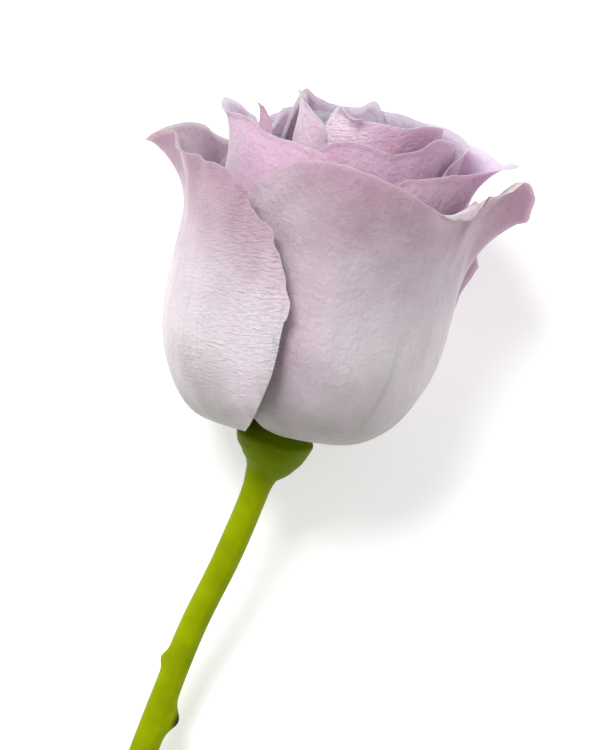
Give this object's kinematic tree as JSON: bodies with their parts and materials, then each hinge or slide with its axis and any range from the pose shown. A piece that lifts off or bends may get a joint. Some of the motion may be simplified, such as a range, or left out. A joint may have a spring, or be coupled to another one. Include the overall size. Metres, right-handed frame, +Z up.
{
  "type": "rose flower",
  "caption": "Half-open rose flower on a length of cut stem, lying on a surface, with pale rolled-back outer petals around a closed, darker heart.",
  "frame": {"origin": "on the surface that the flower lies on, below the middle of the box around the whole lying flower", "axes": "+Z up from the surface; +Y along the lying flower, from the cut end of the stem towards the bloom, whose axis rises 13.6 degrees out of the surface; +X to the flower's right, seen from above with the bloom at the top"},
  "size_m": [0.0672, 0.1492, 0.0567],
  "materials": {
    "petal_lilac": "matte",
    "petal_mauve": "matte",
    "stem_green": "satin"
  },
  "bodies": {
    "root": {"petal_outer_left": "petal_lilac", "petal_outer_front": "petal_lilac", "petal_outer_back_right": "petal_lilac", "petal_outer_back_left": "petal_lilac", "petal_second_right": "petal_mauve", "petal_second_back_left": "petal_lilac", "petal_second_left": "petal_lilac", "petal_second_front": "petal_lilac", "petal_second_back_right": "petal_lilac", "petal_third_right": "petal_mauve", "petal_third_front": "petal_mauve", "petal_third_left": "petal_mauve", "petal_third_back": "petal_mauve", "heart": "petal_mauve", "stem": "stem_green"}
  },
  "joints": []
}
